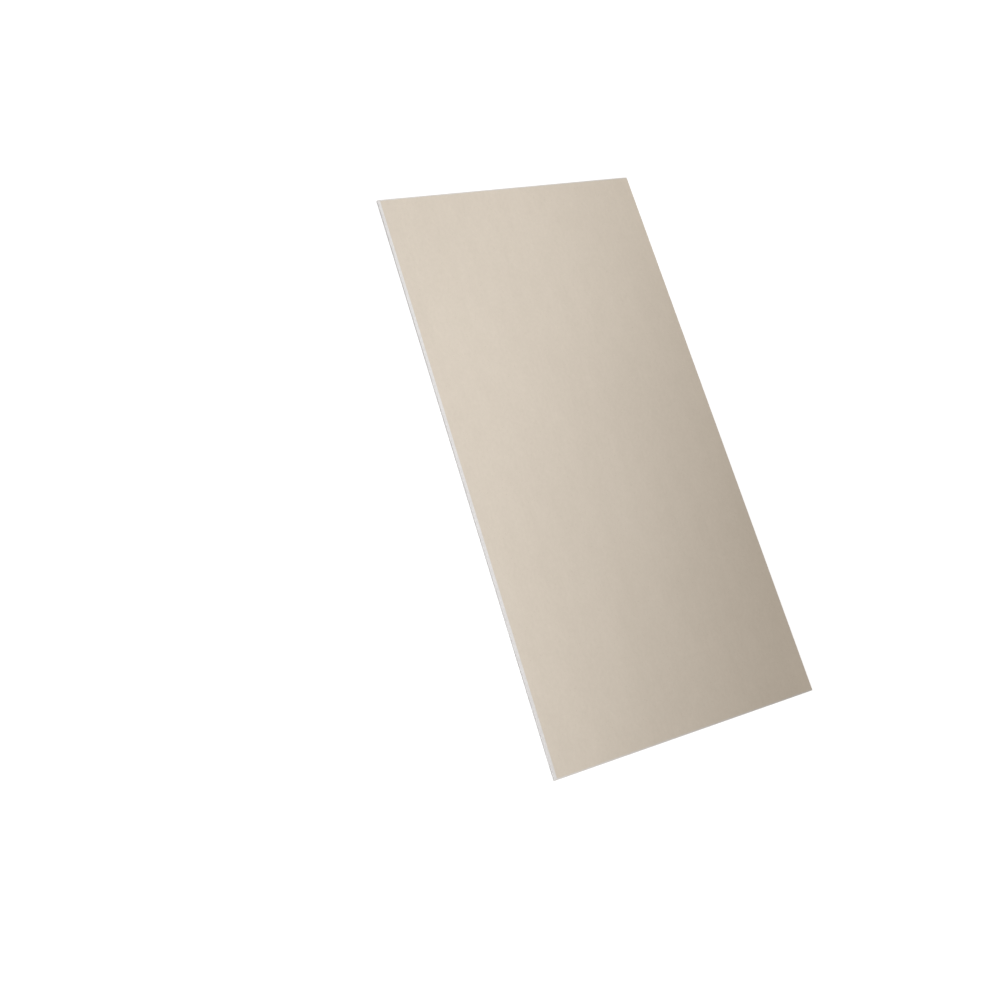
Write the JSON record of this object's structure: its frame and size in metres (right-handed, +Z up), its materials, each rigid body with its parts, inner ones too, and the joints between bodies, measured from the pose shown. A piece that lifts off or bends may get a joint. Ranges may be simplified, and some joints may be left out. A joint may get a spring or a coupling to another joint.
{
  "type": "drywall sheet",
  "caption": "Flat paper-faced gypsum sheet with tapered, paper-wrapped long edges and square-cut ends, for lining walls and ceilings.",
  "frame": {"origin": "middle of the sheet's underside, on the outer surface of the back paper, where the sheet lies on the floor", "axes": "+Z up, out of the face; +Y along the sheet; +X across it"},
  "size_m": [0.9, 1.8, 0.0095],
  "materials": {
    "gypsum": "matte",
    "face_liner": "matte",
    "back_liner": "matte"
  },
  "bodies": {
    "root": {"gypsum_core": "gypsum", "face_paper": "face_liner", "back_paper": "back_liner"}
  },
  "joints": []
}
